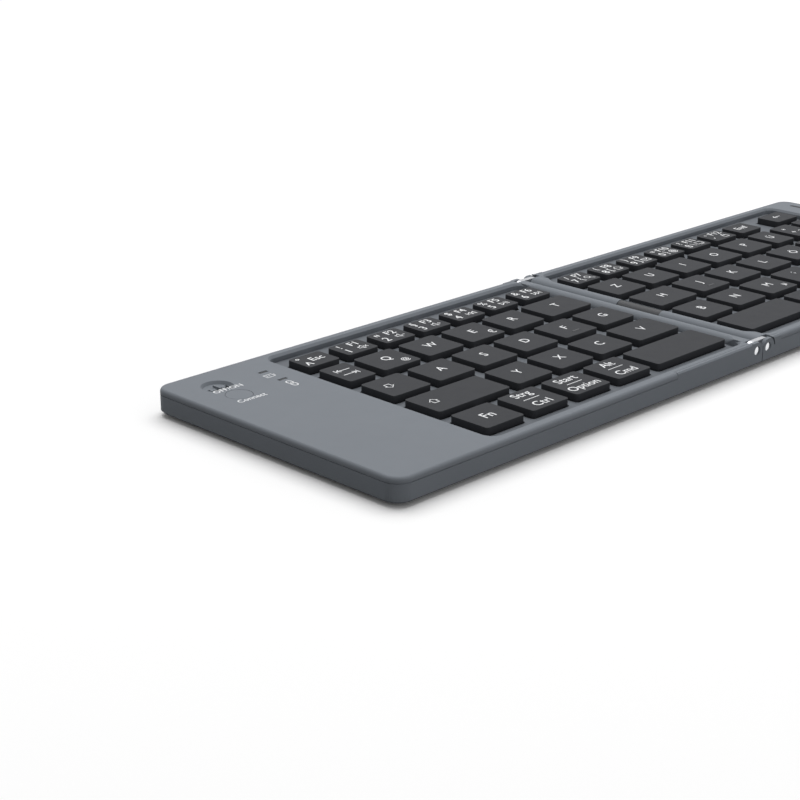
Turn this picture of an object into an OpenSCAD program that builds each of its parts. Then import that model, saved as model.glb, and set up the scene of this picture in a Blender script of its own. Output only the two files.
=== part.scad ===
// Folding keyboard: two shells on a double hinge, 67 keys in shallow wells.
// Origin: middle of the hinge line, on the surface the feet stand on. X runs along the keyboard,
// Y from the user to the back, Z up. The fold is flat open at rest.

/* [Case] */
// Height of a shell without its feet
case_h = 6.6; // [6.6:0.1:8.5]
// Radius of the outer corners, seen from above
corner_r = 4.5; // [3:0.5:8]
// Thickness of the outer walls of the bottom shells
wall_t = 1.2; // [1:0.1:1.4]
// Thickness of the floor of the bottom shells
floor_t = 1; // [0.9:0.1:1.2]
// Height of the bevel round the underside
under_bevel = 0.6; // [0.3:0.1:0.9]
// Height of the top cover's edge, from the seam up
cover_edge_h = 1.5; // [1.2:0.1:1.8]
// Radius of the top cover's outer edge
edge_r = 1.0; // [0.6:0.1:1.4]
// Thickness of the top cover over the blank margin
cover_t = 1.2; // [1:0.1:1.5]
// Depth and height of the shadow groove at the seam
seam_groove = 0.2; // [0.1:0.05:0.4]
// Length of the square edged front and back wall beside the hinge, left half
left_cheek_len = 39.5; // [20:0.5:60]
// Length of the square edged front and back wall beside the hinge, right half
right_cheek_len = 9; // [8:0.5:12]
// Length of the square edged back walls beside the hinge
rear_cheek_len = 9; // [8:0.5:12]
// Clearance between the covers and the square edged walls
cheek_clearance = 0.1; // [0.05:0.05:0.2]
// Size of the bevel along the square edged walls
cheek_bevel = 0.4; // [0.2:0.1:0.6]

/* [Key well] */
// Depth of the well below the rim
well_drop = 2; // [1.6:0.1:2.2]
// Thickness of the key deck, the floor of the well
deck_t = 1; // [0.8:0.1:1.2]
// Width of the front and back rims
rim_w = 3.4; // [3:0.1:3.6]
// Length of one half, from the fold line to its outer end
half_len = 144.5; // [140:0.5:155]
// Depth of the keyboard, front to back
case_depth = 90; // [88:0.5:98]
// Width of the blank margin left of the left well
left_margin_w = 35.6; // [32:0.5:36]
// Width of the margin right of the right well
right_margin_w = 13.8; // [11:0.5:14]
// Radius of the well's outer corners
well_corner_r = 3; // [2:0.5:4]
// Radius of the well's corners beside the hinge
well_inner_r = 3; // [2:0.5:3.5]
// Size of the bevel along the well's upper edge
well_bevel = 0.7; // [0.3:0.1:0.9]

/* [Keys] */
// Width of a letter key
letter_w = 13.8; // [12.5:0.1:14]
// Depth of a letter key
letter_d = 12.7; // [11.5:0.1:12.9]
// Depth of a key in the back row
back_row_d = 8.9; // [8:0.1:9]
// Gap between the rows of keys
key_gap = 3.4; // [3.2:0.1:4.2]
// Space between the outermost keys and the well's outer end
well_side_gap = 3.2; // [2.6:0.1:4.2]
// Centre line of the back row
back_row_y = 31.7; // [30.8:0.1:32]
// Centre line of the second row
second_row_y = 17.6; // [17.2:0.1:17.8]
// Height of a key from its top to its lower edge
key_h = 2.3; // [1.9:0.1:2.3]
// Thickness of a key's top
key_top_t = 0.9; // [0.8:0.1:1]
// Thickness of a key's side walls
key_wall_t = 1; // [0.8:0.1:1.2]
// Corner radius of a key
key_corner_r = 0.9; // [0.8:0.1:2]
// How far the key tops lie below the rim; below zero they stand above it
key_sink = -0.1; // [-0.15:0.05:0.3]
// Travel of a key
key_travel = 1.2; // [0.8:0.1:1.3]
// Gap between the deck and the ridge beside it
deck_gap = 0.05; // [0.05:0.05:0.2]
// Clearance between a key and its opening in the deck
key_clearance = 0.35; // [0.25:0.05:0.5]
// Distance from the fold line to the left key block
left_block_gap = 6.6; // [6.4:0.1:8]
// Distance from the fold line to the right key block
right_block_gap = 6.2; // [6:0.1:7]
// Width of the tab key
tab_w = 9.5; // [8:0.1:10]
// Width of the left shift key
shift_w = 26.6; // [24:0.1:27]
// Width of the H key, which starts the third row of the right half
h_key_w = 18; // [16.5:0.1:18]
// Width of the narrow keys at the right
narrow_w = 9.9; // [9:0.01:10]
// Width of the backspace key
backspace_w = 12.3; // [11:0.1:13]
// Width of the right space key
right_space_w = 31; // [28:0.1:32]

/* [Key mechanism] */
// Thickness of the steel support plates
plate_t = 0.4; // [0.3:0.1:0.4]
// Thickness of the switch membranes
membrane_t = 0.3; // [0.2:0.1:0.3]
// Clearance between the plates and what stands round them
plate_clearance = 1.2; // [1:0.1:1.3]
// Height of the folded scissor frames
scissor_h = 0.9; // [0.6:0.1:1]
// Width of a bar of the scissor frames
scissor_bar = 0.9; // [0.7:0.1:1]
// Radius of a rubber dome's foot
dome_foot_r = 2.2; // [1.8:0.1:2.4]
// Radius of a rubber dome's top
dome_top_r = 1.3; // [1:0.1:1.6]
// Height of a rubber dome
dome_h = 1.5; // [1.2:0.1:1.5]
// Thickness of the ribs under the support plates
rib_t = 1.2; // [0.8:0.1:1.6]
// Distance between the ribs under the support plates
rib_pitch = 24; // [16:1:26]

/* [Hinge] */
// Distance of each hinge axis from the fold line
hinge_half = 2.65; // [2.6:0.05:2.9]
// Radius of the ridges along the fold, round the hinge axes
ridge_r = 2.5; // [2.3:0.05:2.55]
// Half the gap between the two shells at the fold line
fold_gap = 0.15; // [0.1:0.05:0.25]
// Radius of the hinge pins
pin_r = 1.1; // [0.8:0.05:1.2]
// Clearance between a pin and the shells that turn on it
pin_play = 0.05; // [0.02:0.01:0.08]
// Clearance between a pin and the link it is pressed in
pin_fit = 0.01; // [0.01:0.01:0.03]
// Thickness of a hinge link
link_t = 1.6; // [1.2:0.1:1.8]
// Clearance between a link and its pocket
link_clearance = 0.1; // [0.05:0.05:0.2]
// How far a pin reaches into the shell behind its link
pin_grip = 2.4; // [1.5:0.1:3]
// How far the pin's end lies below the front face
pin_recess = 0.1; // [0.1:0.05:0.4]
// Radius of the pins' heads
pin_head_r = 1.35; // [1.3:0.05:1.5]
// Thickness of the pins' heads
pin_head_t = 0.5; // [0.3:0.1:0.6]
// Inner radius of the groove round the right knuckles
knuckle_r = 2.75; // [2.6:0.05:3]
// Width of the groove round the right knuckles
knuckle_groove = 0.5; // [0.3:0.05:0.7]
// Length of the cable cover set into the right ridge
cover_strip_len = 15.8; // [13:0.2:20]
// How far the cable cover reaches from the fold line
cover_strip_reach = 3.2; // [2.8:0.1:3.6]
// Clearance round the cable cover
cover_strip_clearance = 0.1; // [0.05:0.05:0.2]

/* [Left margin] */
// Radius of the power switch's dish in the cover
dish_r = 4.4; // [4:0.1:4.6]
// Depth of that dish
dish_deep = 0.85; // [0.5:0.05:0.85]
// Width of the sloping wall round that dish
dish_slope = 0.6; // [0.1:0.05:0.6]
// Length of the power switch's slot, at the dish's floor
switch_slot_len = 7.2; // [6.6:0.1:7.4]
// Width of that slot
switch_slot_w = 1.6; // [1.2:0.1:1.8]
// Length of the knob that slides in the slot
knob_len = 4.8; // [4:0.1:4.8]
// Travel of the knob each way from the middle
knob_travel = 1; // [0.6:0.1:1]
// Thickness of the knob's fin
fin_t = 0.8; // [0.6:0.1:1.2]
// Length of the knob's fin, across the slot
fin_len = 2.8; // [2.2:0.1:3]
// Height of the fin's lower edge over the dish's floor
fin_lift = 0.2; // [0.2:0.05:0.3]
// Clearance beside the knob
knob_clearance = 0.1; // [0.05:0.05:0.2]
// Radius of the pairing button
pair_r = 3.6; // [3:0.1:3.8]
// Distance of the power switch and the pairing button from the left end
button_inset = 12.1; // [11:0.1:14]
// Power switch's distance from the middle line
power_y = 33.5; // [33:0.1:34]
// Pairing button's distance from the middle line
pair_y = 24.7; // [24:0.1:25]
// Clearance round the pairing button
button_clearance = 0.1; // [0.08:0.01:0.15]
// Width of the collar that holds the button in
button_collar = 0.25; // [0.2:0.05:0.3]
// Thickness of that collar
collar_t = 0.5; // [0.4:0.1:0.6]
// Travel of the pairing button
button_travel = 0.35; // [0.2:0.05:0.4]
// Height of the small switches on the board
switch_h = 1.4; // [1.2:0.1:1.5]
// Width and depth of the small switches
switch_w = 3.5; // [3:0.1:4]
// Radius of the button's stem
stem_r = 1; // [0.6:0.1:1.5]
// Length of an indicator window
window_len = 3; // [2:0.1:3]
// Width of an indicator window
window_w = 1.2; // [0.8:0.1:1.2]
// Distance of the indicator windows from the left end
window_inset = 27.8; // [26:0.1:29]
// Distance between the two indicator windows
window_pitch = 7.8; // [7:0.1:9]

/* [Electronics] */
// Size of the circuit board along X
board_w = 22.8; // [22:0.1:23]
// Size of the circuit board along Y
board_d = 34; // [30:0.5:34]
// Thickness of the circuit board
board_t = 0.8; // [0.6:0.1:1]
// Height of the posts under the circuit board
board_post_h = 1; // [1:0.1:1.6]
// Radius of the posts under the circuit board
board_post_r = 1.5; // [1:0.1:2]
// Size of the battery along X
battery_w = 22.8; // [18:0.1:23]
// Size of the battery along Y
battery_d = 44; // [34:0.5:46]
// Thickness of the battery
battery_t = 3.4; // [3:0.1:4.4]
// Width of the charging socket
socket_w = 7.5; // [7:0.1:9]
// Height of the charging socket
socket_h = 2.5; // [2.4:0.1:2.6]
// Length of the charging socket
socket_len = 5.6; // [5:0.1:6.5]
// Wall of the charging socket
socket_wall = 0.3; // [0.2:0.05:0.4]
// Width of the membranes' tails at the fold
tail_w = 12; // [8:0.5:13]
// Clearance round those tails
tail_clearance = 0.15; // [0.1:0.05:0.2]
// Distance of the board's and battery's middle from the two controls' line
board_offset = 6.5; // [6:0.1:6.8]
// Clearance between the board and the back wall
board_wall_gap = 0.4; // [0.2:0.1:1]
// Distance of the battery from the outside of the front wall
battery_front_gap = 4.4; // [2:0.1:6]
// Distance of the charging socket from the board's middle
socket_offset = 4; // [0:0.5:5]

/* [Fasteners and feet] */
// Distance of the margin screws from the outer ends
screw_end_gap = 5; // [4.8:0.1:5.2]
// Distance of the margin screws from the front and back
screw_side_gap = 5.5; // [5:0.1:6]
// Distance of the inner deck screws from the fold line
inner_screw_x = 13; // [12:0.5:14]
// Distance of the middle deck screws from the fold line
middle_screw_x = 60; // [56:0.5:64]
// Radius of the screw shanks
screw_r = 0.8; // [0.6:0.05:0.9]
// Radius of the screw heads
screw_head_r = 1.6; // [1.4:0.05:1.7]
// Height of the screw heads
screw_head_h = 0.6; // [0.4:0.05:0.6]
// Length of the screw shanks
screw_len = 3; // [2.5:0.1:3.2]
// Radius of the screw bosses
boss_r = 1.7; // [1.5:0.05:1.75]
// Radius of the rubber feet
foot_r = 4; // [3:0.5:5]
// Height of the feet under the shells
foot_h = 1.1; // [0.3:0.1:1.4]
// Depth of the feet's seats in the shells
foot_seat = 0.4; // [0.2:0.1:0.5]
// Distance of the feet from the ends and the fold line
foot_inset = 22; // [20:0.5:30]
// Distance of the feet from the front and back
foot_edge = 8; // [7:0.5:12]
// Length of a bumper strip beside the right well
bumper_len = 16; // [10:0.5:24]
// Width of a bumper strip
bumper_w = 1.6; // [1:0.1:2]
// Depth of the bumper strips' grooves
bumper_deep = 0.8; // [0.5:0.1:0.9]
// Distance of the bumper strips from the right end
bumper_inset = 5.4; // [4.5:0.1:6]

/* [Hidden] */

$fn = 48;
eps = 0.05;
case_z = foot_h;
rim_z = case_z + case_h;
seam_z = rim_z - cover_edge_h;
floor_z = case_z + floor_t;
deck_z = rim_z - well_drop;
deck_under_z = deck_z - deck_t;
hinge_z = rim_z - ridge_r;
half_d = case_depth / 2;
well_half_d = half_d - rim_w;
left_well_w = half_len - left_margin_w;
right_well_w = half_len - right_margin_w;
ridge_wall = hinge_half + ridge_r;
deck_end = ridge_wall + deck_gap;
key_top_z = rim_z - key_sink;
key_low_z = key_top_z - key_h;
membrane_z = key_low_z - key_travel - 0.4;
plate_z = membrane_z - membrane_t;
rib_top_z = plate_z - plate_t;
cheek_y = half_d - wall_t;
pocket_y = cheek_y - link_t - 2 * link_clearance;
well_wall = 1.5;

// One row: first key's left edge, centre line, depth, then [node, width] of each key.
// The keys share out the width that the well leaves them, so the gaps across follow the well.
left_block_w = left_well_w - left_block_gap - well_side_gap;
left_gap = (left_block_w - 6 * letter_w) / 5;
right_block_w = right_well_w - right_block_gap - well_side_gap;
right_gap = (right_block_w - 5 * letter_w - 3 * narrow_w) / 7;
left_x = -left_block_gap - left_block_w;
right_x = right_block_gap;
row_pitch = letter_d + key_gap;
left_fn_w = (6 * letter_w - left_gap) / 7;
right_fn_w = (6 * letter_w - right_gap) / 7;
modifier_w = (5 * letter_w + right_gap - right_space_w) / 3;

function row_y(n) = second_row_y - (n - 2) * row_pitch;
function same(name, width, count) = [for (i = [1:count]) [name, width]];
function taken(keys, i, gap) = i == 0 ? 0 : taken(keys, i - 1, gap) + keys[i - 1][1] + gap;
function left_fill(keys) = left_block_w - taken(keys, len(keys), left_gap);
function right_fill(keys) = right_block_w - taken(keys, len(keys), right_gap);

tab_row = [["key_tab", tab_w], ["key_q", letter_w], ["key_w", letter_w], ["key_e", letter_w],
           ["key_r", letter_w]];
caps_row = [["key_caps", letter_w], ["key_a", letter_w], ["key_s", letter_w], ["key_d", letter_w],
            ["key_f", letter_w]];
shift_row = [["key_shift_left", shift_w], ["key_y", letter_w], ["key_x", letter_w],
             ["key_c", letter_w]];
fn_row = [["key_fn", letter_w], ["key_ctrl", letter_w], ["key_start", letter_w],
          ["key_alt", letter_w]];
home_row = concat([["keys_h_to_ae", h_key_w]], same("keys_h_to_ae", letter_w, 5));
space_row = concat([["key_space_right", right_space_w]],
                   same("keys_altgr_ctrl_menu", modifier_w, 3), same("arrow_keys", narrow_w, 3));

left_rows = [
    [left_x, back_row_y, back_row_d, same("left_function_keys", left_fn_w, 7)],
    [left_x, row_y(2), letter_d, concat(tab_row, [["key_t", left_fill(tab_row)]])],
    [left_x, row_y(3), letter_d, concat(caps_row, [["key_g", left_fill(caps_row)]])],
    [left_x, row_y(4), letter_d, concat(shift_row, [["key_v", left_fill(shift_row)]])],
    [left_x, row_y(5), letter_d, concat(fn_row, [["key_space_left", left_fill(fn_row)]])]
];
right_rows = [
    [right_x, back_row_y, back_row_d, same("right_function_keys", right_fn_w, 7)],
    [right_x + right_block_w - backspace_w, back_row_y, back_row_d,
     [["key_backspace", backspace_w]]],
    [right_x, row_y(2), letter_d,
     concat(same("keys_z_to_hash", letter_w, 5), same("keys_z_to_hash", narrow_w, 3))],
    [right_x, row_y(3), letter_d, concat(home_row, [["key_enter", right_fill(home_row)]])],
    [right_x, row_y(4), letter_d,
     concat(same("keys_b_to_dash", letter_w, 5), [["keys_b_to_dash", narrow_w],
            ["arrow_keys", narrow_w], ["key_shift_right", narrow_w]])],
    [right_x, row_y(5), letter_d, space_row]
];

function placed(rows, gap) = [for (row = rows) for (i = [0:len(row[3]) - 1])
    [row[3][i][0], row[0] + taken(row[3], i, gap), row[1], row[3][i][1], row[2]]];
left_keys = placed(left_rows, left_gap);
right_keys = placed(right_rows, right_gap);

// Screws stand in the margins' corners and on the free strips before and behind the keys.
front_strip_y = (row_y(5) - letter_d / 2 - well_half_d) / 2;
back_strip_y = (back_row_y + back_row_d / 2 + well_half_d) / 2;
margin_screw_y = half_d - screw_side_gap;
margin_screw_x = half_len - screw_end_gap;
deck_screws = [for (x = [inner_screw_x, middle_screw_x], y = [front_strip_y, back_strip_y]) [x, y]];
cover_screws = [for (y = [-1, 1]) [margin_screw_x, y * margin_screw_y]];

button_x = button_inset - half_len;
window_x = window_inset - half_len;
board_z = floor_z + board_post_h;
board_top = board_z + board_t;
board_x = button_x + board_offset;
board_y = cheek_y - board_wall_gap - board_d / 2;
battery_y = battery_d / 2 + battery_front_gap - half_d;
socket_x = board_x + socket_offset;
socket_z = board_top;

function rounded_outline(w, d, r, steps = 6) = [
    for (corner = [[w / 2 - r, d / 2 - r, 0], [r - w / 2, d / 2 - r, 90],
                   [r - w / 2, r - d / 2, 180], [w / 2 - r, r - d / 2, 270]])
    for (i = [0:steps]) let (a = corner[2] + i * 90 / steps)
    [corner[0] + r * cos(a), corner[1] + r * sin(a)]];

module rounded_block(w, d, r, h) {
    linear_extrude(h) polygon(rounded_outline(w, d, r));
}

// Plan of a half: square at the fold, round at the outer end. side is -1 left, 1 right.
module half_plan(side, inner, outer, half_depth, r) {
    mirror([side < 0 ? 1 : 0, 0, 0]) {
        translate([inner, -half_depth]) square([outer - inner - r, 2 * half_depth]);
        translate([outer - r - eps, r - half_depth]) square([r + eps, 2 * (half_depth - r)]);
        for (s = [-1, 1]) translate([outer - r, s * (half_depth - r)]) circle(r);
    }
}

module half_slab(side, inner, outer, half_depth, r, z, h) {
    translate([0, 0, z]) linear_extrude(h) half_plan(side, inner, outer, half_depth, r);
}

module both_ends() {
    children();
    mirror([0, 1, 0]) children();
}

// A flat shape in the XZ plane, drawn for the right half, given a thickness along Y.
module upright(side, y, t) {
    mirror([side < 0 ? 1 : 0, 0, 0])
        translate([0, y + t, 0]) rotate([90, 0, 0]) linear_extrude(t) children();
}

// Bores for the shanks and, at the outer face, for the heads.
module pin_bores(side) {
    head_y = half_d - pin_recess - pin_head_t - pin_play;
    both_ends() translate([side * hinge_half, 0, hinge_z]) rotate([-90, 0, 0]) {
        translate([0, 0, pocket_y - pin_grip - eps])
            cylinder(r = pin_r + pin_play, h = half_d - pocket_y + pin_grip + 2 * eps);
        translate([0, 0, head_y]) cylinder(r = pin_head_r + pin_play, h = half_d - head_y + eps);
    }
}

// Room for a link: round its pin, and open to the fold and upwards for the whole swing.
module link_pocket(side) {
    r = ridge_r + link_clearance;
    both_ends() upright(side, pocket_y, cheek_y - pocket_y) {
        translate([hinge_half, hinge_z]) circle(r);
        translate([-eps, hinge_z]) square([hinge_half + r + eps, ridge_r + 1]);
        translate([-eps, hinge_z - r]) square([hinge_half + eps, 2 * r]);
    }
}

// The wall beside the hinge: full height, rounded about the pin where it meets the fold.
module cheek(side, length) {
    difference() {
        upright(side, cheek_y, wall_t) difference() {
            union() {
                translate([hinge_half, case_z + under_bevel])
                    square([length - hinge_half, case_h - under_bevel]);
                translate([fold_gap, case_z + under_bevel])
                    square([hinge_half, hinge_z - case_z - under_bevel]);
                translate([hinge_half, hinge_z]) circle(ridge_r);
            }
            translate([fold_gap - ridge_r, case_z]) square([ridge_r, case_h]);
        }
        mirror([side < 0 ? 1 : 0, 0, 0]) translate([ridge_wall, half_d - cheek_bevel, rim_z])
            rotate([-45, 0, 0]) cube([half_len, 2 * cheek_bevel, 2 * cheek_bevel]);
    }
}

module knuckle_grooves(side) {
    both_ends() upright(side, cheek_y - eps, wall_t + 2 * eps)
        translate([hinge_half, hinge_z]) intersection() {
            difference() {
                circle(knuckle_r + knuckle_groove);
                circle(knuckle_r);
            }
            square(2 * knuckle_r);
        }
}

module at_screws(side, places) {
    for (p = places) translate([side * p[0], p[1], 0]) children();
}

module screw_clearance(side) {
    at_screws(side, concat(deck_screws, cover_screws)) translate([0, 0, case_z - eps]) {
        cylinder(r = screw_head_r + 0.1, h = screw_head_h + 0.1 + eps);
        cylinder(r = screw_r + 0.1, h = case_h);
    }
}

module foot_places(side) {
    for (x = [foot_inset, half_len - foot_inset], y = [-1, 1])
        translate([side * x, y * (half_d - foot_edge), 0]) children();
}

module bottom_case(side, well_w, cheek_len) {
    difference() {
        union() {
            difference() {
                union() {
                    half_slab(side, fold_gap, half_len, half_d, corner_r, case_z + under_bevel,
                              seam_z - case_z - under_bevel);
                    hull() {
                        half_slab(side, fold_gap, half_len, half_d, corner_r,
                                  case_z + under_bevel, eps);
                        half_slab(side, fold_gap, half_len - under_bevel, half_d - under_bevel,
                                  corner_r - under_bevel, case_z, eps);
                    }
                    cheek(side, rear_cheek_len);
                    mirror([0, 1, 0]) cheek(side, cheek_len);
                }
                // Inside, down to the floor, from the ridge to the outer wall.
                half_slab(side, ridge_wall, half_len - wall_t, cheek_y, corner_r - wall_t,
                          floor_z, case_h);
                // Above the hinge axis only the round ridge stands between the links.
                translate([side < 0 ? -ridge_wall - eps : 0, -pocket_y, hinge_z])
                    cube([ridge_wall + eps, 2 * pocket_y, case_h]);
            }
            ridge(side);
            ridge_pads(side);
        }
        // Shadow groove under the seam.
        difference() {
            beyond_cheeks(side, cheek_len, seam_z - seam_groove, seam_groove + eps);
            half_slab(side, 0, half_len - seam_groove, half_d - seam_groove,
                      corner_r - seam_groove, case_z, case_h);
        }
        link_pocket(side);
        pin_bores(side);
        screw_clearance(side);
        foot_places(side) translate([0, 0, case_z - eps])
            cylinder(r = foot_r + 0.05, h = foot_seat + eps);
        // Slot for the membrane's tail under the ridge.
        translate([side < 0 ? -ridge_wall - eps : 0, -tail_w / 2 - tail_clearance,
                   plate_z - tail_clearance])
            cube([ridge_wall + eps, tail_w + 2 * tail_clearance, membrane_t + 2 * tail_clearance]);
        if (side > 0) knuckle_grooves(side);
    }
    ribs(side, well_w);
}

// A slab over all that lies further out than the front and back cheeks.
module beyond_cheeks(side, cheek_len, z, h) {
    for (end = [[-1, cheek_len], [1, rear_cheek_len]])
        translate([side < 0 ? -half_len - 1 : end[1], end[0] < 0 ? -half_d - 1 : 0, z])
            cube([half_len - end[1] + 1, half_d + 1, h]);
}

// At its ends the ridge's outer side rises to the rim, where it meets the well's corners.
module ridge_pads(side) {
    pad_y = well_half_d - well_inner_r;
    both_ends() hull() {
        upright(side, pad_y, pocket_y - pad_y) translate([hinge_half, hinge_z]) square(ridge_r);
        upright(side, pad_y - well_inner_r, eps) translate([hinge_half, hinge_z]) intersection() {
            circle(ridge_r);
            square(ridge_r);
        }
    }
}

// The round ridge along the fold, above the hinge axis.
module ridge(side) {
    intersection() {
        translate([side * hinge_half, pocket_y, hinge_z]) rotate([90, 0, 0])
            cylinder(r = ridge_r, h = 2 * pocket_y);
        translate([-half_len, -half_d, hinge_z - eps]) cube([2 * half_len, case_depth, case_h]);
    }
}

// Ribs along X that carry the support plate.
module ribs(side, well_w) {
    first = -floor((well_half_d - plate_clearance) / rib_pitch);
    for (i = [first:-first])
        translate([side < 0 ? -well_w : ridge_wall, i * rib_pitch - rib_t / 2, floor_z - eps])
            cube([well_w - ridge_wall, rib_t, rib_top_z - floor_z + eps]);
}

module cover_edge(side, inner) {
    // The rounded outer edge, as the hull of plans that draw in along a quarter circle.
    hull() {
        half_slab(side, inner, half_len, half_d, corner_r, seam_z, eps);
        for (a = [0:18:90])
            half_slab(side, inner, half_len - edge_r * (1 - cos(a)), half_d - edge_r * (1 - cos(a)),
                      corner_r - edge_r * (1 - cos(a)), rim_z - edge_r * (1 - sin(a)) - eps, eps);
    }
}

module well_cut(side, well_w) {
    half_slab(side, 0, well_w, well_half_d, well_corner_r, deck_z, well_drop + eps);
    hull() {
        half_slab(side, 0, well_w, well_half_d, well_corner_r, rim_z - well_bevel, eps);
        half_slab(side, 0, well_w + well_bevel, well_half_d + well_bevel,
                  well_corner_r + well_bevel, rim_z, eps);
    }
}

// What the well leaves in its corners beside the hinge: squares less a circle, bevelled above.
module well_corners(side) {
    reach = deck_end + well_inner_r;
    mirror([side < 0 ? 1 : 0, 0, 0]) both_ends() difference() {
        translate([deck_end, well_half_d - well_inner_r, deck_z])
            cube([well_inner_r, well_inner_r + well_bevel + eps, well_drop]);
        translate([reach, well_half_d - well_inner_r, deck_z - eps])
            cylinder(r = well_inner_r, h = well_drop + 2 * eps);
        translate([reach, well_half_d - well_inner_r, rim_z - well_bevel])
            cylinder(r1 = well_inner_r, r2 = well_inner_r + well_bevel + eps, h = well_bevel + eps);
    }
}

module boss(h) {
    difference() {
        cylinder(r = boss_r, h = h);
        translate([0, 0, -eps]) cylinder(r = screw_r + 0.02, h = screw_len + eps);
    }
}

// The frame round the well: margin, front and back rims. It stands on the key deck.
module top_cover(side, well_w, cheek_len) {
    first = min(cheek_len, rear_cheek_len);
    difference() {
        union() {
            difference() {
                cover_edge(side, first);
                for (end = [[-1, cheek_len], [1, rear_cheek_len]])
                    mirror([0, end[0] < 0 ? 1 : 0, 0])
                        translate([side < 0 ? -end[1] : 0, cheek_y - cheek_clearance, seam_z - eps])
                            cube([end[1], half_d, cover_edge_h + 2 * eps]);
            }
            half_slab(side, deck_end, well_w + well_wall, well_half_d + well_wall,
                      well_corner_r + well_wall, deck_z, well_drop);
            translate([side < 0 ? -first - eps : deck_end, cheek_clearance - cheek_y, seam_z])
                cube([first + eps - deck_end, 2 * (cheek_y - cheek_clearance), cover_edge_h]);
        }
        difference() {
            well_cut(side, well_w);
            well_corners(side);
        }
        half_slab(side, well_w + well_wall - eps, half_len - wall_t, cheek_y, corner_r - wall_t,
                  floor_z, rim_z - cover_t - floor_z);
        link_pocket(side);
    }
    at_screws(side, cover_screws) translate([0, 0, floor_z]) boss(rim_z - cover_t - floor_z + eps);
}

// The floor of the well, with an opening for each key.
module key_deck(side, well_w, keys) {
    difference() {
        half_slab(side, deck_end, well_w + well_wall, well_half_d + well_wall,
                  well_corner_r + well_wall, deck_under_z, deck_t);
        for (k = keys) translate([k[1] + k[3] / 2, k[2], deck_under_z - eps])
            rounded_block(k[3] + 2 * key_clearance, k[4] + 2 * key_clearance,
                          key_corner_r + key_clearance, deck_t + 2 * eps);
        at_screws(side, deck_screws) translate([0, 0, deck_under_z - eps])
            cylinder(r = screw_r + 0.02, h = deck_t / 2);
    }
    at_screws(side, deck_screws) translate([0, 0, floor_z]) boss(deck_under_z - floor_z + eps);
}

module left_bottom_case() {
    color("#5a5e63") difference() {
        union() {
            bottom_case(-1, left_well_w, left_cheek_len);
            for (x = [-1, 1], y = [-1, 1])
                translate([board_x + x * (board_w / 2 - board_post_r),
                           board_y + y * (board_d / 2 - board_post_r), floor_z - eps])
                    cylinder(r = board_post_r, h = board_post_h + eps);
        }
        socket_opening();
    }
}

module right_bottom_case() {
    color("#5a5e63") difference() {
        bottom_case(1, right_well_w, right_cheek_len);
        ridge_piece(ridge_r + 1, cover_strip_reach, cover_strip_len);
    }
}

module socket_opening() {
    translate([socket_x, half_d, socket_z + socket_h / 2]) rotate([90, 0, 0])
        translate([0, 0, -1]) rounded_block(socket_w + 0.4, socket_h + 0.3, 0.6, wall_t + 2);
}

module left_top_cover() {
    color("#868c93") difference() {
        top_cover(-1, left_well_w, left_cheek_len);
        socket_opening();
        power_dish();
        translate([button_x, pair_y, 0]) cylinder(r = pair_r + button_clearance, h = rim_z + 1);
        for (y = [power_y, power_y - window_pitch])
            translate([window_x, y, rim_z]) cube([window_len, window_w, 4 * cover_t], center = true);
    }
}

// A piece of the right ridge beside the fold line, over the ribbon cable.
module ridge_piece(r, reach, length) {
    intersection() {
        translate([hinge_half, length / 2, hinge_z]) rotate([90, 0, 0])
            cylinder(r = r, h = length);
        translate([0, -length / 2 - 1, hinge_z]) cube([reach, length + 2, ridge_r + 1]);
    }
}

module cable_cover() {
    color("#4a4c50") ridge_piece(ridge_r - 0.12, cover_strip_reach - cover_strip_clearance,
                                 cover_strip_len - 2 * cover_strip_clearance);
}

// A round dish with a slot along X through its floor.
module power_dish() {
    translate([button_x, power_y, rim_z - dish_deep]) {
        cylinder(r1 = dish_r - dish_slope, r2 = dish_r, h = dish_deep + eps);
        translate([-switch_slot_len / 2, -switch_slot_w / 2, -cover_t])
            cube([switch_slot_len, switch_slot_w, 2 * cover_t]);
    }
}

module right_top_cover() {
    color("#868c93") difference() {
        top_cover(1, right_well_w, right_cheek_len);
        bumper_places() translate([0, 0, rim_z - bumper_deep])
            rounded_block(bumper_w, bumper_len, bumper_w / 2, bumper_deep + eps);
    }
}

module left_key_deck() {
    color("#868c93") key_deck(-1, left_well_w, left_keys);
}

module right_key_deck() {
    color("#868c93") key_deck(1, right_well_w, right_keys);
}

module bumper_places() {
    for (s = [-1, 1])
        translate([half_len - bumper_inset, s * (half_d - 6.8 - bumper_len / 2), 0]) children();
}

module bumper_strips() {
    color("#26282b") bumper_places() translate([0, 0, rim_z - bumper_deep])
        rounded_block(bumper_w, bumper_len, bumper_w / 2, bumper_deep - 0.15);
}

module inner_sheet(side, well_w, z, t, shrink) {
    near = ridge_wall + plate_clearance + shrink;
    far = well_w - plate_clearance - shrink;
    across = well_half_d - plate_clearance - shrink;
    difference() {
        translate([side < 0 ? -far : near, -across, z]) cube([far - near, 2 * across, t]);
        at_screws(side, deck_screws) translate([0, 0, z - eps])
            cylinder(r = boss_r + 0.15 + shrink, h = t + 2 * eps);
    }
}

// The membrane with its tail, which runs under the ridge to the fold.
module membrane(side, well_w) {
    tail_start = fold_gap + 0.1;
    tail_len = ridge_wall + plate_clearance + 1 - tail_start;
    inner_sheet(side, well_w, plate_z, membrane_t, 0.2);
    translate([side < 0 ? -tail_start - tail_len : tail_start, -tail_w / 2, plate_z])
        cube([tail_len, tail_w, membrane_t]);
}

module left_support_plate() {
    color("#b4b7ba") inner_sheet(-1, left_well_w, rib_top_z, plate_t, 0);
}

module right_support_plate() {
    color("#b4b7ba") inner_sheet(1, right_well_w, rib_top_z, plate_t, 0);
}

module left_membrane() {
    color("#3d6a4c") membrane(-1, left_well_w);
}

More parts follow.
